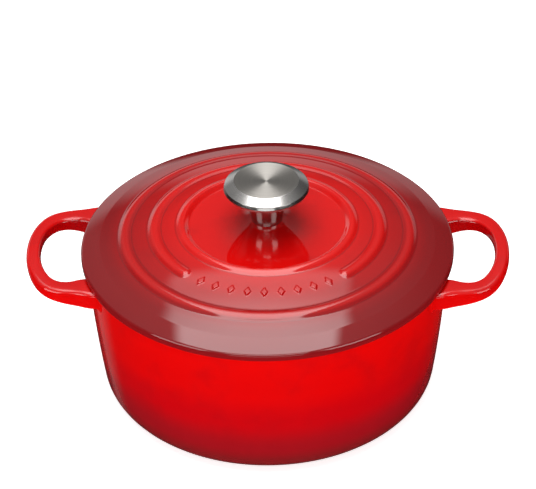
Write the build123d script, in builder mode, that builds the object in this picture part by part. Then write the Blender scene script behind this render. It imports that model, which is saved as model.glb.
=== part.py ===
from build123d import *
import os
from math import cos, degrees, radians, sin, sqrt

# Round cast iron dutch oven: a pot with two cast loop handles and a lift-off lid
# with a stainless steel knob. Millimetres, +Z up. The origin is the centre of the
# base, and the two handles lie along X. The open side of the lid's middle ring faces -Y.

# Pot casting
rim_radius = 124.6          # outside of the wall at the rim
rim_height = 105.0          # top of the rim above the surface the pot stands on
wall = 3.4
floor = 4.0
wall_taper = 9.6            # how much narrower the wall would be where it meets the base line
wall_bulge = 1.25           # how far the wall bows out from a straight cone
base_corner = 16.0          # radius between base and wall, outside
rim_round = 0.9

# Loop handles, cast with the pot
handle_reach = 41.3         # tip of the loop, beyond the outside of the rim
handle_rise = 7.5           # degrees that the loops tilt up towards their tips
handle_half_width = 49.3    # outside of the arms, half the width across the loop
handle_waist = 14.0         # where that width is taken, beyond the outside of the rim
handle_narrowing = 2.0      # how much each arm draws in from there to the loop's corner
handle_root_spread = 11.0   # how much wider the arms spread towards the wall
handle_root_depth = 30.0    # where that spread ends, inside the outside of the rim
handle_end_bow = 12.5       # how far the end of the loop bows out from its corners
handle_corner = 24.0
grip_band = 9.0             # band of iron across the end of the loop, seen from above
arm_band = 12.4             # the same across the arms
gap_corner = 18.0
handle_thickness = 10.6
handle_drop = 7.4           # middle of the handle's root below the rim
handle_edge = 4.0           # rounding along every edge of the loop
root_fillet = 18.0          # blend between the arms and the wall, seen from above
gap_root_fillet = 11.0

# Lid casting
lid_overhang = 3.4          # lid edge beyond the outside of the rim
lid_skin = 3.1
edge_height = 4.8           # height of the lid's outer edge above the rim
shoulder_width = 13.0       # sloping band between the edge and the crown
shoulder_rise = 4.7
shoulder_round = 12.0
edge_round = 2.6
crown_rise = 12.1           # from the shoulder up to the rim of the dish
crown_sagitta = 1.3
dish_radius = 57.0          # where the crown ends, at the inner ring
dish_depth = 1.4
dish_slope = 3.0            # width of the slope from the inner ring down into the dish
boss_foot_radius = 40.0
boss_radius = 12.6
boss_rise = 4.3
boss_thickening = 0.8       # extra iron under the boss, for the screw
hollow_inset = 1.5          # corner of the lid's underside, inside the shoulder
bead_height = 1.45          # raised rings
bead_half_width = 4.4
bead_root = 2.0             # how deep a ring's section reaches into the lid
inner_ring = 57.7
middle_ring = 77.4
outer_ring = 97.8
gap_angle = 88.0            # open part of the middle ring
lozenge_count = 9
lozenge_length = 8.6
lozenge_width = 5.0
lozenge_height = 0.8
lozenge_root = 0.8          # how deep a lozenge reaches into the lid
lozenge_taper = 25.0
lozenge_span = 66.0         # angle from the first lozenge to the last
skirt_clearance = 1.6       # locating skirt to the inside of the mouth
skirt_width = 2.8
skirt_depth = 3.6
skirt_round = 1.0
stabiliser_count = 3
stabiliser_width = 9.0
stabiliser_clearance = 0.6
stabiliser_root = 1.0       # how deep a lug reaches into the skirt
stabiliser_inset = 0.8      # how much shorter a lug is than the skirt

# Knob and its fixing
cap_radius = 29.2
cap_disc_radius = 22.0
cap_bevel = 3.4             # height of the polished bevel
cap_lip = 2.4               # height of the steep lip under the bevel
cap_lip_lean = 0.8          # how far the lip leans out
cap_roll = 1.9              # height of the rolled edge under the lip
cap_skin = 1.2
knob_height = 31.2          # top of the cap above the boss
stem_foot_radius = 10.6
stem_neck_radius = 13.0
stem_neck_height = 12.5
insert_radius = 5.5
insert_length = 14.0
insert_chamfer = 0.5
screw_radius = 3.0
screw_grip = 10.0           # length of thread inside the bush
screw_point = 0.6
thread_clearance = 0.05
hole_clearance = 0.5        # screw in the lid's hole
washer_clearance = 0.2      # screw in both washers
washer_radius = 8.0
washer_thickness = 1.4
washer_chamfer = 0.3
lock_washer_radius = 5.6
lock_washer_thickness = 1.5
lock_washer_split = 1.0
lock_washer_skew = 20.0
head_radius = 6.2
head_height = 4.2
head_round = 1.8
drive_width = 1.5
drive_length = 7.0
drive_depth = 2.2

os.makedirs("parts", exist_ok=True)

# Places that follow from the sizes above
mouth_radius = rim_radius - wall
lid_radius = rim_radius + lid_overhang
shoulder_radius = lid_radius - shoulder_width
shoulder_height = rim_height + edge_height + shoulder_rise
crown_top = shoulder_height + crown_rise
dish_height = crown_top - dish_depth
boss_top = dish_height + boss_rise
boss_under = dish_height - lid_skin + boss_rise - boss_thickening
skirt_outer = mouth_radius - skirt_clearance
skirt_inner = skirt_outer - skirt_width
knob_top = boss_top + knob_height
lip_top = knob_top - cap_bevel
lip_bottom = lip_top - cap_lip
roll_bottom = lip_bottom - cap_roll
flange_radius = cap_radius - cap_skin


def crown_height(radius):
    """Height of the lid's crown at a distance from the axis, on its single large arc."""
    run = shoulder_radius - dish_radius
    chord = sqrt(run**2 + crown_rise**2)
    arc_radius = chord**2 / (8 * crown_sagitta) + crown_sagitta / 2
    middle_r = (shoulder_radius + dish_radius) / 2
    middle_h = (shoulder_height + crown_top) / 2
    inward = arc_radius - crown_sagitta
    centre_r = middle_r - inward * crown_rise / chord
    centre_h = middle_h - inward * run / chord
    return centre_h + sqrt(arc_radius**2 - (radius - centre_r) ** 2)


def crown_middle(drop):
    """Middle point of the crown's arc, lowered by drop."""
    middle = (shoulder_radius + dish_radius) / 2
    return (middle, crown_height(middle) - drop)


# ---------------------------------------------------------------- pot
# One loop on its own tilted plane, whose x is 0 at the outside of the rim. Its root is
# half a disc that ends inside the pot's wall, and whose middle the cavity cuts away.
end_half_width = handle_half_width - handle_narrowing
end_radius = (end_half_width**2 + handle_end_bow**2) / (2 * handle_end_bow)
end_centre = (handle_reach - end_radius, 0)
root_half_width = handle_half_width + handle_root_spread
gap_half_width = handle_half_width - arm_band
gap_tip = handle_reach - grip_band
gap_length = 2 * handle_reach
tilt_x, tilt_z = cos(radians(handle_rise)), sin(radians(handle_rise))
handle_plane = Plane(
    (rim_radius, 0, rim_height - handle_drop),
    x_dir=(tilt_x, 0, tilt_z),
    z_dir=(-tilt_z, 0, tilt_x),
).offset(-handle_thickness / 2)


def far_corners(sketch, x, half_width):
    """The sketch's two corners nearest to the outer end of the loop's arms."""
    return [sketch.vertices().sort_by_distance((x, side * half_width))[0] for side in (1, -1)]


with BuildPart() as handle_loop:
    with BuildSketch(handle_plane) as outline:
        with BuildLine():
            Polyline(
                (-rim_radius, 0),
                (-rim_radius, root_half_width),
                (-handle_root_depth, root_half_width),
                (handle_waist, handle_half_width),
                (handle_reach + 1, end_half_width),
                (handle_reach + 1, 0),
                close=True,
            )
        make_face()
        mirror(about=Plane.XZ)
        with Locations(end_centre):
            Circle(end_radius, mode=Mode.INTERSECT)
        fillet(far_corners(outline, handle_reach, end_half_width), handle_corner)
        with Locations((-rim_radius, 0)):
            Circle(rim_radius - wall / 2)
        with Locations((-1.5 * rim_radius, 0)):
            Rectangle(2 * rim_radius, 2 * rim_radius, mode=Mode.SUBTRACT)
        fillet(outline.vertices().group_by(Axis.Y)[-1], root_fillet)
        fillet(outline.vertices().group_by(Axis.Y)[0], root_fillet)
    extrude(amount=handle_thickness)

    # The gap for the fingers, cut back to the wall with a blend at each root.
    with BuildSketch(handle_plane) as gap:
        with Locations((gap_tip - gap_length / 2 + 1, 0)):
            Rectangle(gap_length, 2 * gap_half_width)
        with Locations(end_centre):
            Circle(end_radius - grip_band, mode=Mode.INTERSECT)
        fillet(far_corners(gap, gap_tip, gap_half_width), gap_corner)
        with Locations((-rim_radius, 0)):
            Circle(rim_radius, mode=Mode.SUBTRACT)
        fillet(gap.vertices().group_by(Axis.X)[0], gap_root_fillet)
    extrude(amount=handle_thickness, mode=Mode.SUBTRACT)
    flat_faces = handle_loop.faces().filter_by(handle_plane)
    fillet(flat_faces.edges().filter_by(lambda e: (e @ 0.5).X > rim_radius / 2), handle_edge)

with BuildPart() as pot:
    with BuildSketch(Plane.XZ) as body_profile:
        with BuildLine():
            Line((0, 0), (rim_radius - wall_taper, 0))
            SagittaArc((rim_radius - wall_taper, 0), (rim_radius, rim_height), wall_bulge)
            Line((rim_radius, rim_height), (0, rim_height))
            Line((0, rim_height), (0, 0))
        make_face()
        fillet(body_profile.vertices().group_by(Axis.Y)[0].sort_by(Axis.X)[-1], base_corner)
    revolve(axis=Axis.Z)
    add(handle_loop.part)
    mirror(handle_loop.part, about=Plane.YZ)
    with BuildSketch(Plane.XZ) as cavity:
        with BuildLine():
            Line((0, floor), (mouth_radius - wall_taper, floor))
            SagittaArc((mouth_radius - wall_taper, floor), (mouth_radius, rim_height), wall_bulge)
            Line((mouth_radius, rim_height), (0, rim_height))
            Line((0, rim_height), (0, floor))
        make_face()
        fillet(cavity.vertices().group_by(Axis.Y)[0].sort_by(Axis.X)[-1], base_corner)
    revolve(axis=Axis.Z, mode=Mode.SUBTRACT)
    rim_edges = pot.edges().filter_by_position(Axis.Z, rim_height - 0.01, rim_height + 0.01)
    fillet(rim_edges.filter_by(GeomType.CIRCLE), rim_round)
pot.part.label = "pot"
export_step(pot.part, "parts/pot.step")


# ---------------------------------------------------------------- lid
def crown_plane(radius, angle):
    """Plane that lies on the crown, with its x axis running round the lid."""
    step = 0.1
    slope = (crown_height(radius + step) - crown_height(radius - step)) / (2 * step)
    out_x, out_y = cos(radians(angle)), sin(radians(angle))
    origin = (radius * out_x, radius * out_y, crown_height(radius))
    return Plane(origin, x_dir=(-out_y, out_x, 0), z_dir=(-slope * out_x, -slope * out_y, 1))


def upright_plane(angle):
    """Upright plane through the axis, with its x axis pointing out at an angle."""
    out_x, out_y = cos(radians(angle)), sin(radians(angle))
    return Plane((0, 0, 0), x_dir=(out_x, out_y, 0), z_dir=(out_y, -out_x, 0))


def bead_outline(radius):
    """Section of a raised ring, rooted inside the lid's skin."""
    inside, outside = radius - bead_half_width, radius + bead_half_width
    inside_foot = (inside, crown_height(inside))
    outside_foot = (outside, crown_height(outside))
    ThreePointArc(inside_foot, (radius, crown_height(radius) + bead_height), outside_foot)
    Polyline(
        outside_foot,
        (outside, crown_height(outside) - bead_root),
        (inside, crown_height(inside) - bead_root),
        inside_foot,
    )


def corner(sketch, radius, height):
    """The sketch's corner at a distance from the axis and a height."""
    return sketch.vertices().sort_by_distance((radius, height))[0]


with BuildPart() as lid:
    with BuildSketch(Plane.XZ) as lid_profile:
        with BuildLine():
            Line((0, boss_top), (boss_radius, boss_top))
            TangentArc(
                (boss_foot_radius, dish_height), (boss_radius, boss_top), tangent=(-1, 0)
            )
            Line((boss_foot_radius, dish_height), (dish_radius - dish_slope, dish_height))
            Line((dish_radius - dish_slope, dish_height), (dish_radius, crown_top))
            ThreePointArc(
                (dish_radius, crown_top), crown_middle(0), (shoulder_radius, shoulder_height)
            )
            Polyline(
                (shoulder_radius, shoulder_height),
                (lid_radius, rim_height + edge_height),
                (lid_radius, rim_height),
                (skirt_outer, rim_height),
                (skirt_outer, rim_height - skirt_depth),
                (skirt_inner, rim_height - skirt_depth),
                (shoulder_radius - hollow_inset, shoulder_height - lid_skin),
            )
            ThreePointArc(
                (shoulder_radius - hollow_inset, shoulder_height - lid_skin),
                crown_middle(lid_skin),
                (dish_radius, crown_top - lid_skin),
            )
            Polyline(
                (dish_radius, crown_top - lid_skin),
                (dish_radius - dish_slope, dish_height - lid_skin),
                (boss_foot_radius, dish_height - lid_skin),
            )
            TangentArc(
                (boss_foot_radius, dish_height - lid_skin), (boss_radius, boss_under), tangent=(-1, 0)
            )
            Line((boss_radius, boss_under), (0, boss_under))
            Line((0, boss_under), (0, boss_top))
        make_face()
        fillet(corner(lid_profile, shoulder_radius, shoulder_height), shoulder_round)
        fillet(corner(lid_profile, lid_radius, rim_height + edge_height), edge_round)
        fillet(corner(lid_profile, lid_radius, rim_height), skirt_round)
        fillet(corner(lid_profile, skirt_outer, rim_height - skirt_depth), skirt_round)
        fillet(corner(lid_profile, skirt_inner, rim_height - skirt_depth), skirt_round)
    revolve(axis=Axis.Z)

    # Raised rings. The middle one is open at the front, and its ends are domed.
    for ring in (inner_ring, outer_ring):
        with BuildSketch(Plane.XZ):
            with BuildLine():
                bead_outline(ring)
            make_face()
        revolve(axis=Axis.Z)
    ring_start = -90 + gap_angle / 2
    with BuildSketch(upright_plane(ring_start)):
        with BuildLine():
            bead_outline(middle_ring)
        make_face()
    revolve(axis=Axis.Z, revolution_arc=360 - gap_angle)
    for angle in (ring_start, -90 - gap_angle / 2):
        seat = crown_plane(middle_ring, angle)
        with BuildSketch(Plane(seat.origin, x_dir=seat.x_dir, z_dir=-seat.y_dir)):
            with BuildLine():
                TangentArc((0, bead_height), (bead_half_width, 0), tangent=(1, 0))
                Polyline(
                    (bead_half_width, 0),
                    (bead_half_width, -bead_root),
                    (0, -bead_root),
                    (0, bead_height),
                )
            make_face()
        revolve(axis=Axis(seat.origin, seat.z_dir))

    # A row of plain raised lozenges fills the open side of the middle ring.
    for i in range(lozenge_count):
        angle = -90 - lozenge_span / 2 + i * lozenge_span / (lozenge_count - 1)
        with BuildSketch(crown_plane(middle_ring, angle).offset(-lozenge_root)):
            Polygon(
                (-lozenge_width / 2, 0),
                (0, -lozenge_length / 2),
                (lozenge_width / 2, 0),
                (0, lozenge_length / 2),
            )
        extrude(amount=lozenge_root + lozenge_height, taper=lozenge_taper)

    # Lugs on the skirt that centre the lid in the mouth.
    lug_outer = mouth_radius - stabiliser_clearance
    lug_arc = degrees(stabiliser_width / skirt_outer)
    lug_width = lug_outer - skirt_outer + stabiliser_root
    lug_height = skirt_depth - stabiliser_inset
    for i in range(stabiliser_count):
        with BuildSketch(upright_plane(90 + i * 360 / stabiliser_count - lug_arc / 2)):
            with Locations((lug_outer - lug_width / 2, rim_height - lug_height / 2)):
                Rectangle(lug_width, lug_height)
        revolve(axis=Axis.Z, revolution_arc=lug_arc)

    with Locations((0, 0, boss_under)):
        Cylinder(screw_radius + hole_clearance, 4 * lid_skin, mode=Mode.SUBTRACT)
lid.part.label = "lid"
export_step(lid.part, "parts/lid.step")


# ---------------------------------------------------------------- knob
with BuildPart() as knob_cap:
    with BuildSketch(Plane.XZ):
        with BuildLine():
            Polyline(
                (0, knob_top),
                (cap_disc_radius, knob_top),
                (cap_radius - cap_lip_lean, lip_top),
                (cap_radius, lip_bottom),
                (cap_radius - cap_skin, roll_bottom),
            )
            Polyline(
                (cap_radius - cap_skin, roll_bottom),
                (flange_radius, lip_bottom),
                (cap_radius - cap_lip_lean - cap_skin, lip_top - cap_skin / 2),
                (cap_disc_radius - cap_skin / 3, knob_top - cap_skin),
                (0, knob_top - cap_skin),
                (0, knob_top),
            )
        make_face()
    revolve(axis=Axis.Z)
knob_cap.part.label = "knob_cap"
export_step(knob_cap.part, "parts/knob_cap.step")

# Turned stem, bored through for the bush and flared above into a flange inside the cap's lip.
with BuildPart() as knob_stem:
    with BuildSketch(Plane.XZ):
        with BuildLine():
            Line((insert_radius, boss_top), (stem_foot_radius, boss_top))
            Line((stem_foot_radius, boss_top), (stem_neck_radius, boss_top + stem_neck_height))
            TangentArc(
                (stem_neck_radius, boss_top + stem_neck_height),
                (flange_radius - cap_skin, roll_bottom),
                tangent=(stem_neck_radius - stem_foot_radius, stem_neck_height),
            )
            Polyline(
                (flange_radius - cap_skin, roll_bottom),
                (flange_radius, roll_bottom),
                (flange_radius, lip_bottom),
                (insert_radius, lip_bottom),
                (insert_radius, boss_top),
            )
        make_face()
    revolve(axis=Axis.Z)
knob_stem.part.label = "knob_stem"
export_step(knob_stem.part, "parts/knob_stem.step")

with BuildPart() as knob_insert:
    with BuildSketch(Plane.XY.offset(boss_top)):
        Circle(insert_radius)
        Circle(screw_radius + thread_clearance, mode=Mode.SUBTRACT)
    extrude(amount=insert_length)
    chamfer(knob_insert.faces().sort_by(Axis.Z)[0].edges().sort_by(SortBy.RADIUS)[0], insert_chamfer)
knob_insert.part.label = "knob_insert"
export_step(knob_insert.part, "parts/knob_insert.step")


# ---------------------------------------------------------------- fixing screw
washer_top = boss_under
washer_bottom = washer_top - washer_thickness
head_top = washer_bottom - lock_washer_thickness

with BuildPart() as screw_washer:
    with BuildSketch(Plane.XY.offset(washer_bottom)):
        Circle(washer_radius)
        Circle(screw_radius + washer_clearance, mode=Mode.SUBTRACT)
    extrude(amount=washer_thickness)
    chamfer(screw_washer.faces().sort_by(Axis.Z)[0].edges().sort_by(SortBy.RADIUS)[-1], washer_chamfer)
screw_washer.part.label = "screw_washer"
export_step(screw_washer.part, "parts/screw_washer.step")

with BuildPart() as lock_washer:
    with BuildSketch(Plane.XY.offset(head_top)):
        Circle(lock_washer_radius)
        Circle(screw_radius + washer_clearance, mode=Mode.SUBTRACT)
        with Locations((lock_washer_radius / 2, 0)):
            Rectangle(
                lock_washer_radius + 1,
                lock_washer_split,
                rotation=lock_washer_skew,
                mode=Mode.SUBTRACT,
            )
    extrude(amount=lock_washer_thickness)
lock_washer.part.label = "lock_washer"
export_step(lock_washer.part, "parts/lock_washer.step")

with BuildPart() as knob_screw:
    with BuildSketch(Plane.XY.offset(head_top)):
        Circle(screw_radius)
    extrude(amount=boss_top + screw_grip - head_top)
    chamfer(knob_screw.faces().sort_by(Axis.Z)[-1].edges(), screw_point)
    with BuildSketch(Plane.XY.offset(head_top)):
        Circle(head_radius)
    extrude(amount=-head_height)
    fillet(knob_screw.faces().sort_by(Axis.Z)[0].edges(), head_round)
    with BuildSketch(Plane.XY.offset(head_top - head_height)):
        Rectangle(drive_length, drive_width)
        Rectangle(drive_width, drive_length)
    extrude(amount=drive_depth, mode=Mode.SUBTRACT)
knob_screw.part.label = "knob_screw"
export_step(knob_screw.part, "parts/knob_screw.step")
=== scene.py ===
from math import atan2, cos, hypot, pi, radians, sin, sqrt, tan

import bpy
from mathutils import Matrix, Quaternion, Vector


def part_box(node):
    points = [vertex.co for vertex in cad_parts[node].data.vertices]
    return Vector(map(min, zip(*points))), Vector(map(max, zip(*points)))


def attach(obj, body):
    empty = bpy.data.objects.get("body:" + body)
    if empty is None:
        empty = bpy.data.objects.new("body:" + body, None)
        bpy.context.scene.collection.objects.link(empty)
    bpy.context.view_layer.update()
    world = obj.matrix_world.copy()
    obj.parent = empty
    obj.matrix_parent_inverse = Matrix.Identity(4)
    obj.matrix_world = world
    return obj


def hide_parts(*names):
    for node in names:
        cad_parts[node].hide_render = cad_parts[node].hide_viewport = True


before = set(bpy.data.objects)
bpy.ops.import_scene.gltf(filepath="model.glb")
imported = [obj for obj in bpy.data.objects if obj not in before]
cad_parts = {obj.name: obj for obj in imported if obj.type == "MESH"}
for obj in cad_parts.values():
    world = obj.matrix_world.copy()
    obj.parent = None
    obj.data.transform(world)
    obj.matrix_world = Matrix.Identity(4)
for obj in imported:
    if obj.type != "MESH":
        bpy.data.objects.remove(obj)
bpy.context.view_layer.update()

mm = 0.001
scene = bpy.context.scene
scene.view_settings.view_transform = "Standard"


# ---------------------------------------------------------------- pot
# Round cast iron pot, enamelled red outside and sand inside, with a bare dark rim.
# One casting: a slightly tapered and bowed wall over a flat base with rounded corners.
skirt_depth = 3.6 * mm
rim_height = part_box("lid")[0].z + skirt_depth
lid_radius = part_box("lid")[1].x
rim_radius = lid_radius - 3.4 * mm
wall = 3.4 * mm
floor_height = 4.0 * mm
wall_taper = 9.6 * mm
wall_bow = 1.25 * mm
base_corner = 16 * mm
rim_round = 0.9 * mm
foot_radius = 90 * mm
foot_recess = 0.7 * mm
foot_slope = 2 * mm
foot_round = 0.5 * mm
floor_ring = 70 * mm
lowest_row = 22 * mm
row_pitch = 5.1 * mm
wall_rows = 17
dark_band = 2.4 * mm
pot_steps = 300


class Paint:
    """A value or colour on its way through a material's nodes."""

    def __init__(self, tree, socket=None):
        self.tree = tree
        self.socket = socket

    def node(self, kind, sockets=(), settings=(), out=0):
        """A node of any kind: settings first, then the values or links of its sockets."""
        made = self.tree.nodes.new("ShaderNode" + kind)
        for key, value in dict(settings).items():
            if key == "stops":
                ends = made.color_ramp.elements
                ends[0].position, ends[0].color = value[0]
                ends[1].position, ends[1].color = value[-1]
                for position, colour in value[1:-1]:
                    ends.new(position).color = colour
            elif key == "interpolation":
                made.color_ramp.interpolation = value
            else:
                setattr(made, key, value)
        for key, value in dict(sockets).items():
            if isinstance(value, Paint):
                self.tree.links.new(value.socket, made.inputs[key])
            else:
                made.inputs[key].default_value = value
        return Paint(self.tree, made.outputs[out])

    def maths(self, operation, first, second=0.0):
        return self.node("Math", {0: first, 1: second}, {"operation": operation})

    def __add__(self, other):
        return self.maths("ADD", self, other)

    def __radd__(self, other):
        return self.maths("ADD", other, self)

    def __sub__(self, other):
        return self.maths("SUBTRACT", self, other)

    def __rsub__(self, other):
        return self.maths("SUBTRACT", other, self)

    def __mul__(self, other):
        return self.maths("MULTIPLY", self, other)

    def __rmul__(self, other):
        return self.maths("MULTIPLY", other, self)

    def __truediv__(self, other):
        return self.maths("DIVIDE", self, other)

    def __pow__(self, other):
        return self.maths("POWER", self, other)

    def step(self, low, high):
        """0 below low, 1 above high, smooth between them."""
        return self.node(
            "MapRange",
            {"Value": self, "From Min": low, "From Max": high},
            {"interpolation_type": "SMOOTHSTEP"},
        )

    def mix(self, other, amount, way="MIX"):
        """This colour with other laid over it by amount."""
        return self.node(
            "Mix",
            {0: amount, 6: self, 7: other},
            {"data_type": "RGBA", "blend_type": way},
            out=2,
        )

    def noise(self, place, scale, detail=2.0):
        return self.node("TexNoise", {"Vector": place, "Scale": scale, "Detail": detail})

    def ramp(self, stops):
        return self.node("ValToRGB", {0: self}, {"interpolation": "EASE", "stops": stops})

    def place(self):
        """Object coordinates, and their x, y and z."""
        spot = self.node("TexCoord", out=3)
        split = spot.node("SeparateXYZ", {0: spot})
        outputs = split.socket.node.outputs
        return spot, *(Paint(self.tree, outputs[axis]) for axis in range(3))


def finish_of(name, constants):
    """A new material, the start of its nodes, and its shader."""
    material = bpy.data.materials.new(name)
    material.use_nodes = True
    tree = material.node_tree
    shader = tree.nodes["Principled BSDF"]
    for socket, value in constants.items():
        shader.inputs[socket].default_value = value
    return material, Paint(tree), shader


def feed(shader, **links):
    """Links paints to the shader's sockets, named with _ for a space."""
    for socket, paint in links.items():
        paint.tree.links.new(paint.socket, shader.inputs[socket.replace("_", " ")])


def red(value, green=0.0, blue=0.0):
    return (value, green, blue, 1.0)


def enamel(name, along, stops, speckle=0.12, painted_light_attribute=None):
    """Glossy fired enamel whose colour follows the way it was sprayed, with a faint orange peel,
    and a painted highlight and painted shade read from a stored attribute.
    """
    material, start, shader = finish_of(
        name,
        {"Coat Roughness": 0.05, "Coat IOR": 1.58, "Specular IOR Level": 0.0},
    )
    spot, x, y, z = start.place()
    colour = along(x, y, z).ramp(stops)
    cloud = start.noise(spot, 38, 3)
    grain = start.noise(spot, 900, 2)
    colour = colour.mix(red(0.25, 0.004, 0.008), (cloud.step(0.45, 0.8)) * 0.22)
    colour = colour.mix(red(0.12, 0.002, 0.004), grain.step(0.64, 0.8) * speckle)
    # Painted highlight where the attribute is high, on the ring crests, and painted shade where it
    # is negative, at the ring feet and on the loop's inner side.
    if painted_light_attribute is not None:
        painted_light_level = start.node("Attribute", settings={"attribute_name": painted_light_attribute}, out=2)
        colour = colour.mix(red(1.0, 0.012, 0.008), painted_light_level.step(0.35, 1.0) * 0.35)
        colour = colour.mix(red(0.16, 0.002, 0.004), (0 - painted_light_level).step(0.05, 0.6) * 0.5)
    waves = start.noise(spot, 95, 1)
    pits = start.noise(spot, 420, 1)
    peel = start.node(
        "Bump",
        {"Height": waves * 0.8 + pits * 0.12, "Strength": 0.22, "Distance": 0.0006},
    )
    feed(
        shader,
        Base_Color=colour,
        Roughness=0.24 + grain * 0.1,
        Coat_Weight=0.92 + cloud * 0.06,
        Normal=peel,
    )
    return material


def select_faces(piece, wanted):
    """Selects the piece's faces whose centre and normal pass the test, in edit mode."""
    bpy.ops.object.mode_set(mode="OBJECT")
    for vertex in piece.data.vertices:
        vertex.select = False
    for edge in piece.data.edges:
        edge.select = False
    for face in piece.data.polygons:
        face.select = wanted(face.center, face.normal)
    bpy.ops.object.mode_set(mode="EDIT")


def rounded(corners, steps=7):
    """Points along (radius, height, rounding) corners, each rounded by its own radius."""
    points = [Vector(corners[0][:2])]
    for before, here, after in zip(corners, corners[1:], corners[2:]):
        middle = Vector(here[:2])
        back = (Vector(before[:2]) - middle).normalized()
        ahead = (Vector(after[:2]) - middle).normalized()
        if not here[2]:
            points.append(middle)
            continue
        half = back.angle(ahead) / 2
        centre = middle + (back + ahead).normalized() * (here[2] / sin(half))
        start = middle + back * (here[2] / tan(half)) - centre
        end = middle + ahead * (here[2] / tan(half)) - centre
        sweep = start.angle_signed(end)
        for k in range(steps + 1):
            turn = -sweep * k / steps
            points.append(centre + Vector((
                start.x * cos(turn) - start.y * sin(turn),
                start.x * sin(turn) + start.y * cos(turn),
            )))
    points.append(Vector(corners[-1][:2]))
    return points


def turned(name, outline, steps):
    """A body of revolution, spun about the upright axis from an outline in its order."""
    bpy.ops.object.select_all(action="DESELECT")
    bpy.ops.mesh.primitive_plane_add(size=mm)
    piece = bpy.context.object
    piece.name = piece.data.name = name
    bpy.ops.object.mode_set(mode="EDIT")
    bpy.ops.mesh.merge(type="CENTER")
    bpy.ops.transform.translate(value=(outline[0].x, 0, outline[0].y))
    for here, after in zip(outline, outline[1:]):
        bpy.ops.mesh.extrude_region_move(
            TRANSFORM_OT_translate={"value": (after.x - here.x, 0, after.y - here.y)}
        )
    bpy.ops.mesh.select_all(action="SELECT")
    bpy.ops.mesh.spin(steps=steps, angle=2 * pi, center=(0, 0, 0), axis=(0, 0, 1))
    bpy.ops.mesh.select_all(action="SELECT")
    bpy.ops.mesh.remove_doubles(threshold=0.002 * mm)
    bpy.ops.mesh.normals_make_consistent(inside=False)
    bpy.ops.object.mode_set(mode="OBJECT")
    bpy.ops.object.shade_smooth_by_angle(angle=radians(40))
    return piece


def give(piece, material, wanted=None):
    """Puts a material on the whole piece, or on the faces that pass the test."""
    piece.data.materials.append(material)
    if wanted is None:
        return
    select_faces(piece, wanted)
    piece.active_material_index = len(piece.data.materials) - 1
    bpy.ops.object.material_slot_assign()
    bpy.ops.object.mode_set(mode="OBJECT")


def wall_radius(height):
    """Outside of the wall at a height."""
    share = height / rim_height
    return rim_radius - wall_taper * (1 - share) + 4 * wall_bow * share * (1 - share)


heights = [lowest_row + row_pitch * k for k in range(wall_rows)]
pot_outline = rounded(
    [
        (0, foot_recess, 0),
        (foot_radius - foot_slope, foot_recess, foot_round),
        (foot_radius, 0, foot_round),
        (wall_radius(0), 0, base_corner),
    ]
    + [(wall_radius(height), height, 0) for height in heights]
    + [
        (rim_radius, rim_height, rim_round),
        (rim_radius - wall, rim_height, rim_round),
    ]
    + [(wall_radius(height) - wall, height, 0) for height in reversed(heights)]
    + [
        (wall_radius(floor_height) - wall, floor_height, base_corner),
        (floor_ring, floor_height, 0),
        (0, floor_height, 0),
    ],
    steps=10,
)
pot = turned("pot_casting", pot_outline, pot_steps)

outside_stops = [
    (0.00, red(0.180, 0.0110, 0.0130)),
    (0.08, red(0.215, 0.0110, 0.0130)),
    (0.22, red(0.360, 0.0050, 0.0100)),
    (0.45, red(0.590, 0.0006, 0.0035)),
    (0.70, red(0.750, 0.0005, 0.0010)),
    (1.00, red(0.840, 0.0008, 0.0008)),
]
outside_red = enamel(
    "pot_red_enamel", lambda x, y, z: z / rim_height, outside_stops
)


def matt_enamel(name, light, dark, roughness):
    """Matt fired enamel, with a fine grain and a slow drift of its tone."""
    material, start, shader = finish_of(name, {"Specular IOR Level": 0.4})
    spot, x, y, z = start.place()
    grain = start.noise(spot, 1400, 2)
    drift = start.noise(spot, 30, 2)
    colour = start.node("RGB")
    colour.socket.default_value = light
    colour = colour.mix(dark, grain.step(0.5, 0.75) * 0.5 + drift.step(0.4, 0.8) * 0.3)
    bump = start.node("Bump", {"Height": grain, "Strength": 0.3, "Distance": 0.0001})
    feed(shader, Base_Color=colour, Roughness=roughness + grain * 0.12, Normal=bump)
    return material


sand = matt_enamel("sand_enamel", (0.72, 0.60, 0.42, 1), (0.60, 0.47, 0.31, 1), 0.22)
rim_black = matt_enamel("dark_rim_enamel", (0.030, 0.026, 0.024, 1), (0.012, 0.010, 0.010, 1), 0.5)
give(pot, outside_red)
give(
    pot,
    sand,
    lambda at, normal: hypot(at.x, at.y) < wall_radius(at.z) - wall / 2 and normal.z > 0,
)
give(
    pot,
    rim_black,
    lambda at, normal: at.z > rim_height - dark_band
    and hypot(at.x, at.y) < rim_radius - rim_round * 0.6,
)


# ---------------------------------------------------------------- loop handles
# Two loops cast with the pot, one on each side. Each rises slightly to its tip, is slimmest
# there, and swells through its arms into a wide root that blends into the wall.
loop_stations = [
    # distance along x, half the loop's spread, width seen from above, thickness, top, turn
    (161.2, 0.0, 10.0, 9.4, 107.50, 0.0),
    (160.9, 7.7, 10.2, 9.4, 107.45, 13.5),
    (159.9, 14.9, 10.6, 9.4, 107.20, 27.0),
    (158.2, 22.1, 11.4, 9.4, 106.70, 40.0),
    (155.5, 29.2, 12.7, 9.4, 106.00, 52.0),
    (151.7, 35.7, 13.8, 9.5, 105.10, 63.0),
    (146.5, 40.6, 14.1, 9.7, 104.10, 73.0),
    (139.6, 43.2, 13.8, 11.0, 103.90, 81.5),
    (132.2, 43.6, 15.0, 12.6, 104.10, 91.0),
    (127.5, 43.4, 17.5, 13.1, 104.30, 97.0),
    (123.0, 43.6, 20.5, 13.7, 104.40, 101.0),
    (118.6, 43.9, 21.7, 13.9, 104.40, 104.0),
    (115.0, 43.8, 21.7, 13.9, 104.40, 108.0),
    (104.0, 43.7, 21.7, 13.9, 104.40, 110.0),
]
loop_edge = 3.4 * mm
root_blend = 2.5 * mm
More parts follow.
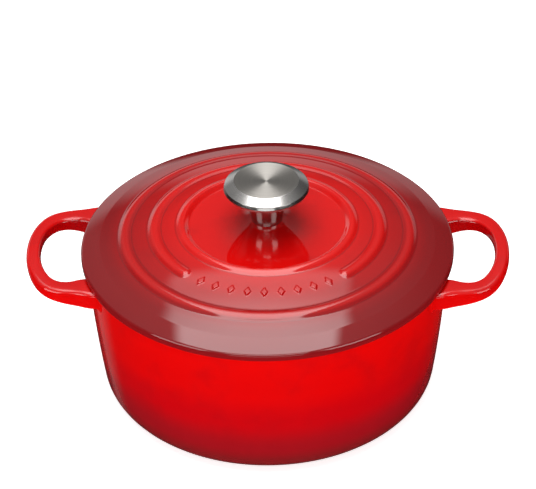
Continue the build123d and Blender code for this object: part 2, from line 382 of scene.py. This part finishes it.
root_cut = rim_radius - 2.3 * mm
cutter_height = 60 * mm
cutter_drop = 20 * mm
gap_middle = 140 * mm
inner_shade = 0.9

bpy.ops.object.select_all(action="DESELECT")
first = [(x, -y, w, t, top, -turn) for x, y, w, t, top, turn in reversed(loop_stations)]
stations = first[:-1] + loop_stations
x, y, width, thick, top, turn = stations[0]
bpy.ops.mesh.primitive_plane_add(size=1)
loop = bpy.context.object
loop.name = "loop_handle"
bpy.ops.object.mode_set(mode="EDIT")
bpy.ops.transform.rotate(value=pi / 2, orient_axis="X", center_override=(0, 0, 0))
bpy.ops.transform.resize(value=(width * mm, 1, thick * mm), center_override=(0, 0, 0))
bpy.ops.transform.rotate(value=radians(-turn), orient_axis="Z", center_override=(0, 0, 0))
centre = Vector((x, y, top - thick / 2)) * mm
bpy.ops.transform.translate(value=centre)
for x, y, after_width, after_thick, top, after_turn in stations[1:]:
    goal = Vector((x, y, top - after_thick / 2)) * mm
    bpy.ops.mesh.extrude_region_move(TRANSFORM_OT_translate={"value": goal - centre})
    centre = goal
    wider, thicker = after_width / width, after_thick / thick
    bpy.ops.transform.resize(value=(wider, wider, thicker), center_override=centre)
    bpy.ops.transform.rotate(
        value=radians(turn - after_turn), orient_axis="Z", center_override=centre
    )
    width, thick, turn = after_width, after_thick, after_turn
bpy.ops.mesh.select_all(action="SELECT")
bpy.ops.mesh.normals_make_consistent(inside=False)
bpy.ops.object.mode_set(mode="OBJECT")


def finish_with(piece, kind, **settings):
    """Adds a modifier with its settings and applies it."""
    bpy.ops.object.select_all(action="DESELECT")
    piece.select_set(True)
    bpy.context.view_layer.objects.active = piece
    modifier = piece.modifiers.new(kind.lower(), kind)
    for key, value in settings.items():
        setattr(modifier, key, value)
    bpy.ops.object.modifier_apply(modifier=modifier.name)


finish_with(
    loop, "BEVEL", width=loop_edge, segments=3, limit_method="ANGLE", angle_limit=radians(50)
)
finish_with(loop, "SUBSURF", levels=2, render_levels=2)


def weigh(piece, group, weight_at):
    """A vertex group whose weights follow each vertex's place and normal."""
    made = piece.vertex_groups.new(name=group)
    for vertex in piece.data.vertices:
        weight = weight_at(vertex.co, vertex.normal)
        if weight > 0:
            made.add([vertex.index], min(weight, 1), "REPLACE")
    return made


def root_swell(at, normal):
    """How far the root swells into the wall, none on its top, which stays under the lid."""
    gap = hypot(at.x, at.y) - wall_radius(at.z)
    reach = max(0.0, 1 - max(gap, 0.0) / root_blend)
    blend = 1 - sqrt(max(0.0, 1 - reach**2))
    return blend * (1 - max(0.0, min(1.0, normal.z * 1.6)))


weigh(loop, "root", root_swell)
finish_with(loop, "DISPLACE", vertex_group="root", strength=root_blend, mid_level=0)
bpy.ops.object.select_all(action="DESELECT")
bpy.ops.mesh.primitive_cylinder_add(
    vertices=240,
    radius=root_cut,
    depth=cutter_height,
    location=(0, 0, rim_height - cutter_drop),
)
cutter = bpy.context.object
finish_with(loop, "BOOLEAN", operation="DIFFERENCE", object=cutter, solver="EXACT")
bpy.data.objects.remove(cutter)
bpy.ops.object.select_all(action="DESELECT")
loop.select_set(True)
bpy.context.view_layer.objects.active = loop
bpy.ops.object.shade_smooth_by_angle(angle=radians(40))
loop.vertex_groups.clear()

# Painted shade on the inner side of the loop, which faces the wall, is stored for its material.
loop_painted_shade = loop.data.attributes.new("relief", "FLOAT", "POINT")
for vertex in loop.data.vertices:
    inward = Vector((gap_middle - vertex.co.x, -vertex.co.y, 0)).normalized()
    facing = inward.dot(vertex.normal) - abs(vertex.normal.z) * 0.6
    loop_painted_shade.data[vertex.index].value = -inner_shade * max(0.0, min(1.0, facing * 1.6))

loop_red = enamel(
    "loop_red_enamel",
    lambda x, y, z: z / rim_height,
    [
        (0.0, red(0.70, 0.0008, 0.0010)),
        (0.8, red(0.74, 0.0008, 0.0010)),
        (1.0, red(0.80, 0.0012, 0.0012)),
    ],
    painted_light_attribute="relief",
)
give(loop, loop_red)
bpy.ops.object.duplicate()
other_loop = bpy.context.object
bpy.ops.object.mode_set(mode="EDIT")
bpy.ops.mesh.select_all(action="SELECT")
bpy.ops.transform.rotate(value=pi, orient_axis="Z", center_override=(0, 0, 0))
bpy.ops.object.mode_set(mode="OBJECT")
loop.select_set(True)
other_loop.select_set(True)
pot.select_set(True)
bpy.context.view_layer.objects.active = pot
bpy.ops.object.join()
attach(pot, "pot")
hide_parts("pot")


# ---------------------------------------------------------------- lid
# Cast iron lid, red enamel on top and sand below, with a dark land where it meets the rim.
# A shallow crown with three raised rings, a dish, and a boss that swells up to the knob.
boss_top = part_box("knob_stem")[0].z
dish_height = boss_top - 4.3 * mm
dish_radius = 57 * mm
crown_top = dish_height + 1.4 * mm
shoulder_radius = lid_radius - 13 * mm
shoulder_round = 12 * mm
edge_height = rim_height + 4.8 * mm
edge_round = 2.6 * mm
shoulder_height = edge_height + 4.7 * mm
crown_sagitta = 1.3 * mm
boss_radius = 12.6 * mm
boss_foot = 40 * mm
hole_radius = 3.5 * mm
lid_skin = 3.1 * mm
boss_thickening = 0.8 * mm
boss_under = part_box("screw_washer")[1].z
skirt_outer = rim_radius - wall - 1.6 * mm
skirt_inner = skirt_outer - 2.8 * mm
skirt_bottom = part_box("lid")[0].z
skirt_round = 1.0 * mm
hollow_inset = 1.5 * mm
rings = (57.7 * mm, 77.4 * mm, 97.8 * mm)
ring_height = 1.45 * mm
ring_half = 4.9 * mm
ring_gap = radians(88)
dish_slope = 3.5 * mm
crown_end = 107 * mm
lid_steps = 360
row = 0.6 * mm


def crown(radius):
    """Height of the crown, on one large arc from the shoulder up to the dish."""
    run = shoulder_radius - dish_radius
    rise = crown_top - shoulder_height
    chord = hypot(run, rise)
    arc_radius = chord**2 / (8 * crown_sagitta) + crown_sagitta / 2
    inward = arc_radius - crown_sagitta
    centre_r = (shoulder_radius + dish_radius) / 2 - inward * rise / chord
    centre_h = (shoulder_height + crown_top) / 2 - inward * run / chord
    return centre_h + sqrt(arc_radius**2 - (radius - centre_r) ** 2)


def bead(distance):
    """Share of a ring's height at a distance from its middle."""
    return (1 - (distance / ring_half) ** 2.3) ** 1.6 if distance < ring_half else 0.0


def boss(radius):
    """Height of the dish and of the boss that sweeps up from it."""
    share = max(0.0, min(1.0, (boss_foot - radius) / (boss_foot - boss_radius)))
    return dish_height + (boss_top - dish_height) * share**2.2


top_radii = [hole_radius, boss_radius]
top_radii += [boss_radius + (boss_foot - boss_radius) * k / 14 for k in range(1, 15)]
top_radii += [45 * mm, 49 * mm, rings[0] - ring_half - row]
for ring, further in zip(rings, (rings[1] - ring_half, rings[2] - ring_half, crown_end)):
    top_radii += [ring - ring_half + row * k for k in range(int(2 * ring_half / row) + 2)]
    last = top_radii[-1]
    top_radii += [last + (further - last) * k / 8 for k in range(1, 8)]


def top_height(radius):
    """Height of the lid's top without the middle ring, which is open at the front."""
    if radius <= boss_foot:
        return boss(radius)
    ground = crown(radius) if radius > dish_radius else dish_height
    if radius <= dish_radius:
        into_dish = min(1.0, (dish_radius - radius) / dish_slope)
        ground = crown(dish_radius) - (crown_top - dish_height) * into_dish
    return ground + ring_height * max(bead(abs(radius - rings[0])), bead(abs(radius - rings[2])))


top = [(radius, top_height(radius), 0) for radius in top_radii]


def boss_skin(radius):
    """Thickness of the lid under the boss, which gains iron for the screw."""
    return lid_skin + boss_thickening * (1 - (radius - boss_radius) / (boss_foot - boss_radius))


below = [
    (radius * mm, crown(radius * mm) - lid_skin, 0) for radius in (108, 102, 96, 88, 80, 72, 64)
]
lid_outline = rounded(
    top
    + [
        (shoulder_radius, shoulder_height, shoulder_round),
        (lid_radius, edge_height, edge_round),
        (lid_radius, rim_height, 1.0 * mm),
        (skirt_outer, rim_height, 0.4 * mm),
        (skirt_outer, skirt_bottom, skirt_round),
        (skirt_inner, skirt_bottom, skirt_round),
        (shoulder_radius - hollow_inset, shoulder_height - lid_skin, hollow_inset),
    ]
    + below
    + [(dish_radius, crown_top - lid_skin, 0), (54 * mm, dish_height - lid_skin, 0)]
    + [
        (radius * mm, boss(radius * mm) - boss_skin(radius * mm), 0)
        for radius in (40, 34, 28, 22, 17, 14)
    ]
    + [(boss_radius, boss_under, 0), (hole_radius, boss_under, 0), (hole_radius, boss_top, 0)],
    steps=8,
)
lid = turned("lid_casting", lid_outline, lid_steps)


# The middle ring stops short of the front at both ends, and a row of nine plain lozenges
# is raised between them. They are cast with the lid, so they are drawn up out of its skin.
lozenge_count = 9
lozenge_span = radians(66)
lozenge_half_length = 4.6 * mm
lozenge_half_width = 2.7 * mm
lozenge_height = 0.8 * mm
lozenge_slope = 0.9 * mm
row_half = 6 * mm
row_margin = radians(5)
foot_width = 1.2 * mm
foot_shade = 0.5


def at_front(at):
    """Angle from the front of the lid, and the distance from its axis."""
    return atan2(at.x, -at.y), hypot(at.x, at.y)


def on_top(at, low, high):
    radius = hypot(at.x, at.y)
    return low < radius < high and at.z > crown(radius) - 1.5 * mm


def in_gap(at, normal):
    angle, radius = at_front(at)
    near_gap = abs(angle) < ring_gap / 2 + row_margin
    return near_gap and on_top(at, rings[1] - row_half, rings[1] + row_half)


select_faces(lid, in_gap)
bpy.ops.mesh.subdivide(number_cuts=2)
bpy.ops.object.mode_set(mode="OBJECT")


def open_ring(at, normal):
    """Height of the middle ring, with a dome at each end."""
    angle, radius = at_front(at)
    if not on_top(at, rings[1] - ring_half, rings[1] + ring_half):
        return 0.0
    short = max(0.0, ring_gap / 2 - abs(angle)) * rings[1]
    return bead(hypot(radius - rings[1], short))


def lozenges(at, normal):
    """Height of the nearest lozenge of the row."""
    angle, radius = at_front(at)
    if abs(angle) > ring_gap / 2 or not on_top(at, rings[1] - row_half, rings[1] + row_half):
        return 0.0
    pitch = lozenge_span / (lozenge_count - 1)
    near = max(-(lozenge_count // 2), min(lozenge_count // 2, round(angle / pitch)))
    across = abs(angle - near * pitch) * rings[1]
    along = abs(radius - rings[1])
    inside = 1 - across / lozenge_half_width - along / lozenge_half_length
    share = max(0.0, min(1.0, inside * lozenge_half_width / lozenge_slope))
    return share * share * (3 - 2 * share)


weigh(lid, "ring", open_ring)
weigh(lid, "lozenges", lozenges)
finish_with(lid, "DISPLACE", vertex_group="ring", strength=ring_height, mid_level=0, direction="Z")
finish_with(
    lid, "DISPLACE", vertex_group="lozenges", strength=lozenge_height, mid_level=0, direction="Z"
)
lid.vertex_groups.clear()

# The ring heights drive a painted highlight on the rings, and their feet get a painted shade; both
# are stored for its material.
relief = lid.data.attributes.new("relief", "FLOAT", "POINT")
for vertex in lid.data.vertices:
    radius = hypot(vertex.co.x, vertex.co.y)
    height = 0.0
    if on_top(vertex.co, dish_radius, shoulder_radius):
        height = (vertex.co.z - crown(radius)) / ring_height
    near = rings if abs(atan2(vertex.co.x, -vertex.co.y)) > ring_gap / 2 else rings[::2]
    foot = min(abs(abs(radius - ring) - ring_half) for ring in near)
    # Painted shade at the feet of the rings.
    if on_top(vertex.co, dish_radius - 5 * mm, shoulder_radius) and height < 0.25:
        height -= foot_shade * max(0.0, 1 - foot / foot_width)
    relief.data[vertex.index].value = height

# Lugs on the skirt centre the lid in the mouth.
lug_count = 3
lug_half = radians(2.3)
lug_reach = 1.0 * mm


def on_lug(at, normal):
    angle = atan2(at.x, at.y)
    pitch = 2 * pi / lug_count
    off = abs((angle + pitch / 2) % pitch - pitch / 2)
    radius = hypot(at.x, at.y)
    outer = abs(radius - skirt_outer) < 0.2 * mm and at.z < rim_height - 0.5 * mm
    return off < lug_half and outer and normal.x * at.x + normal.y * at.y > 0


select_faces(lid, on_lug)
bpy.ops.mesh.extrude_region_shrink_fatten(TRANSFORM_OT_shrink_fatten={"value": lug_reach})
bpy.ops.object.mode_set(mode="OBJECT")
bpy.ops.object.shade_smooth_by_angle(angle=radians(40))

lid_stops = [
    (0.00, red(0.780, 0.0030, 0.0030)),
    (0.30, red(0.780, 0.0030, 0.0030)),
    (0.45, red(0.780, 0.0040, 0.0030)),
    (0.58, red(0.650, 0.0030, 0.0030)),
    (0.68, red(0.500, 0.0040, 0.0050)),
    (0.78, red(0.390, 0.0050, 0.0070)),
    (0.88, red(0.290, 0.0060, 0.0080)),
    (1.00, red(0.270, 0.0070, 0.0090)),
]
lid_red = enamel(
    "lid_red_enamel",
    lambda x, y, z: (x * x + y * y) ** 0.5 / lid_radius,
    lid_stops,
    painted_light_attribute="relief",
)
give(lid, lid_red)
give(
    lid,
    sand,
    lambda at, normal: hypot(at.x, at.y) < skirt_inner + 1.4 * mm
    and at.z < top_height(hypot(at.x, at.y)) - 1.2 * mm,
)
give(
    lid,
    rim_black,
    lambda at, normal: at.z < rim_height + 0.3 * mm
    and skirt_inner + 1.0 * mm < hypot(at.x, at.y) < lid_radius - 1.2 * mm,
)
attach(lid, "lid")
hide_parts("lid")


# ---------------------------------------------------------------- knob
# Stainless steel knob: a pressed cap with a brushed disc, a polished bevel and a steep lip
# rolled under, closed by a turned stem that stands on the boss.
knob_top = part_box("knob_cap")[1].z
cap_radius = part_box("knob_cap")[1].x
roll_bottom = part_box("knob_cap")[0].z
disc_radius = 22 * mm
disc_hollow = 0.8 * mm
cap_skin = 1.2 * mm
lip_top = knob_top - 3.4 * mm
lip_bottom = lip_top - 2.4 * mm
knob_steps = 192
cap = turned(
    "knob_cap_steel",
    rounded(
        [
            (0, knob_top - disc_hollow, 0),
            (disc_radius * 0.5, knob_top - disc_hollow * 0.75, 0),
            (disc_radius, knob_top, 0.6 * mm),
            (cap_radius - 0.8 * mm, lip_top, 0.5 * mm),
            (cap_radius, lip_bottom, 0.8 * mm),
            (cap_radius - cap_skin, roll_bottom, 0.3 * mm),
            (cap_radius - cap_skin - 0.3 * mm, lip_bottom, 0),
            (cap_radius - 2 * mm, lip_top - cap_skin / 2, 0.4 * mm),
            (disc_radius - 0.4 * mm, knob_top - cap_skin, 0.4 * mm),
            (0, knob_top - cap_skin, 0),
        ],
        steps=5,
    ),
    knob_steps,
)


def steel(name, tone, roughness, lines, line_depth, anisotropy):
    """Stainless steel with the fine circular lines that turning and brushing leave."""
    material, start, shader = finish_of(
        name,
        {"Metallic": 1.0, "Anisotropic": anisotropy, "Anisotropic Rotation": 0.25},
    )
    spot, x, y, z = start.place()
    radius = (x * x + y * y) ** 0.5
    along = start.node("CombineXYZ", {0: radius, 1: z, 2: 0.0})
    grooves = start.noise(along, lines, 3)
    drift = start.noise(spot, 60, 2)
    colour = start.node("RGB")
    colour.socket.default_value = tone
    worn = tuple(0.82 * part for part in tone[:3]) + (1.0,)
    colour = colour.mix(worn, grooves.step(0.35, 0.7) * 0.6 + drift * 0.2)
    bump = start.node("Bump", {"Height": grooves, "Strength": line_depth, "Distance": 0.00005})
    feed(shader, Base_Color=colour, Roughness=roughness + grooves * 0.08, Normal=bump)
    return material


brushed = steel("brushed_steel", (0.56, 0.53, 0.49, 1), 0.27, 2600, 0.25, 0.90)
polished = steel("polished_steel", (0.60, 0.58, 0.56, 1), 0.19, 1200, 0.03, 0.5)
give(cap, polished)
give(
    cap,
    brushed,
    lambda at, normal: at.z > knob_top - 1.0 * mm and hypot(at.x, at.y) < disc_radius - 0.2 * mm,
)
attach(cap, "lid")
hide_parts("knob_cap")

stem_foot = 10.6 * mm
stem_neck = 13.0 * mm
neck_height = boss_top + 12.5 * mm
flange_radius = cap_radius - cap_skin
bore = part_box("knob_insert")[1].x
flare_run = flange_radius - cap_skin - stem_neck
flare_rise = roll_bottom - neck_height
flare = []
for k in range(1, 11):
    share = k / 10
    flare.append(
        (stem_neck + flare_run * share**1.7, neck_height + flare_rise * (1 - (1 - share) ** 1.7), 0)
    )
stem = turned(
    "knob_stem_steel",
    rounded(
        [
            (bore, boss_top, 0),
            (stem_foot, boss_top, 0.4 * mm),
            (stem_foot + (stem_neck - stem_foot) / 2, (boss_top + neck_height) / 2, 0),
            (stem_neck, neck_height, 0),
        ]
        + flare
        + [
            (flange_radius, roll_bottom, 0),
            (flange_radius, lip_bottom, 0),
            (bore, lip_bottom, 0),
            (bore, boss_top, 0),
        ],
        steps=5,
    ),
    knob_steps,
)
stem_steel = steel("turned_stem_steel", (0.52, 0.50, 0.48, 1), 0.13, 3200, 0.1, 0.4)
give(stem, stem_steel)
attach(stem, "lid")
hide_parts("knob_stem")


# ---------------------------------------------------------------- fixing
# Threaded bush pressed into the stem, and the pan head screw that comes up through the lid
# into it, with a plain washer and a split lock washer. All are zinc plated steel.
zinc, start, shader = finish_of("zinc_plate", {"Metallic": 1.0, "Specular IOR Level": 0.5})
spot, x, y, z = start.place()
crystals = start.node("TexVoronoi", {"Vector": spot, "Scale": 700})
streaks = start.noise(spot, 1500, 3)
plate = start.node("RGB")
plate.socket.default_value = (0.58, 0.60, 0.62, 1)
plate = plate.mix((0.36, 0.38, 0.42, 1), crystals * 0.5 + streaks.step(0.5, 0.8) * 0.3)
bump = start.node("Bump", {"Height": streaks, "Strength": 0.2, "Distance": 0.00005})
feed(shader, Base_Color=plate, Roughness=0.28 + streaks * 0.2, Normal=bump)
for node in ("knob_insert", "knob_screw", "screw_washer", "lock_washer"):
    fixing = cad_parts[node]
    fixing.data.materials.clear()
    fixing.data.materials.append(zinc)


# ---------------------------------------------------------------- stage
# Plain pale paper floor that glows a little. The overhead key and the front fill light the
# object; the softbox, the panels and the low card are only seen in its enamel and its steel.
bpy.ops.object.select_all(action="DESELECT")
bpy.ops.mesh.primitive_plane_add(size=24)
ground = bpy.context.object
ground.name = "floor"
paper, start, shader = finish_of("pale_floor", {"Specular IOR Level": 0.0, "Roughness": 1.0})
spot, x, y, z = start.place()
fibres = start.noise(spot, 300, 2)
tone = start.node("RGB")
tone.socket.default_value = (0.93, 0.93, 0.93, 1)
feed(shader, Base_Color=tone.mix((0.90, 0.90, 0.90, 1), fibres * 0.5))
shader.inputs["Emission Color"].default_value = (1, 1, 1, 1)
shader.inputs["Emission Strength"].default_value = 0.80
give(ground, paper)
ground.visible_glossy = False

world = bpy.data.worlds.new("studio")
scene.world = world
world.use_nodes = True
air = Paint(world.node_tree)
direction = air.node("TexCoord", out=0)
side, back, up = (air.node("SeparateXYZ", {0: direction}, out=axis) for axis in range(3))
sky = up.node("ValToRGB", {0: up}, {"stops": [
    (0.00, (0.02, 0.02, 0.02, 1)),
    (0.30, (0.10, 0.10, 0.10, 1)),
    (0.57, (0.24, 0.24, 0.24, 1)),
    (0.82, (0.50, 0.50, 0.50, 1)),
    (1.00, (0.54, 0.54, 0.54, 1)),
]})
horizon = up.step(-0.12, 0.0) * (1 - up.step(0.17, 0.32))
backdrop = back.step(0.60, 0.82) * horizon * (0.72 - 0.30 * side.step(-0.3, 0.4))
left_wing = back.step(0.40, 0.65) * (0 - side).step(0.36, 0.46) * 0.16
side_shade = side.step(0.20, 0.62) * 0.55 + (0 - side).step(0.45, 0.75) * 0.35
sky = sky.mix((0, 0, 0, 1), side_shade).mix((1, 1, 1, 1), backdrop + left_wing)
world.node_tree.links.new(sky.socket, world.node_tree.nodes["Background"].inputs["Color"])


def lamp(name, place, aim, size, level, lights=True, reflects=True):
    """A rectangular lamp that faces aim, and whose face shines at a level."""
    light = bpy.data.lights.new(name, "AREA")
    light.shape = "RECTANGLE"
    light.size, light.size_y = size
    light.energy = level * pi * size[0] * size[1]
    holder = bpy.data.objects.new(name, light)
    scene.collection.objects.link(holder)
    holder.location = place
    holder.rotation_mode = "QUATERNION"
    holder.rotation_quaternion = (Vector(aim) - Vector(place)).to_track_quat("-Z", "Y")
    holder.visible_diffuse = lights
    holder.visible_glossy = reflects
    return light


lamp("overhead_key", (-0.11, 0.20, 1.40), (-0.11, 0.20, 0), (1.0, 1.5), 3.0, reflects=False)
softbox = lamp(
    "overhead_softbox", (-0.08, 0.25, 1.32), (-0.08, 0.25, 0), (0.94, 1.62), 1.0, lights=False
)
softbox.use_nodes = True
cloth = Paint(softbox.node_tree)
across = cloth.node("NewGeometry", out=5)
u, v = (cloth.node("SeparateXYZ", {0: across}, out=axis) for axis in range(2))
edge = u.step(0.0, 0.10) * (1 - u.step(0.92, 1.0)) * v.step(0.0, 0.06) * (1 - v.step(0.90, 1.0))
glow = edge * (1.2 + 3.3 * (1 - v.step(0.50, 0.84)))
softbox.node_tree.links.new(glow.socket, softbox.node_tree.nodes["Emission"].inputs["Strength"])
for hand in (-1, 1):
    lamp("side_panel", (1.15 * hand, -0.95, 0.85), (0, 0, 0.13), (0.9, 0.7), 4.0, lights=False)
lamp("front_fill", (0, -3.2, 0.86), (0, 0, 0.08), (3.6, 1.3), 1.9, reflects=False)
lamp("front_panel", (0, -1.55, 1.65), (0, 0, 0.1), (1.5, 0.6), 3.5, lights=False)
lamp("low_card", (0, -3.0, 0.13), (0, 0, 0.13), (2.2, 0.5), 2.5, lights=False)

camera_data = bpy.data.cameras.new("view")
camera_data.sensor_width = 36
camera_data.lens = 155.85
camera_data.shift_x = 0.0009
camera_data.shift_y = 0.0173
camera_data.clip_end = 60
camera = bpy.data.objects.new("view", camera_data)
scene.collection.objects.link(camera)
azimuth, elevation, distance, roll = radians(1.9), radians(35.147), 1.600, radians(-1.026)
aim = Vector((0, 0, 0.100))
camera.location = aim + distance * Vector((
    sin(azimuth) * cos(elevation),
    -cos(azimuth) * cos(elevation),
    sin(elevation),
))
look = (aim - camera.location).to_track_quat("-Z", "Y")
camera.rotation_mode = "QUATERNION"
camera.rotation_quaternion = look @ Quaternion((0, 0, 1), roll)
scene.camera = camera
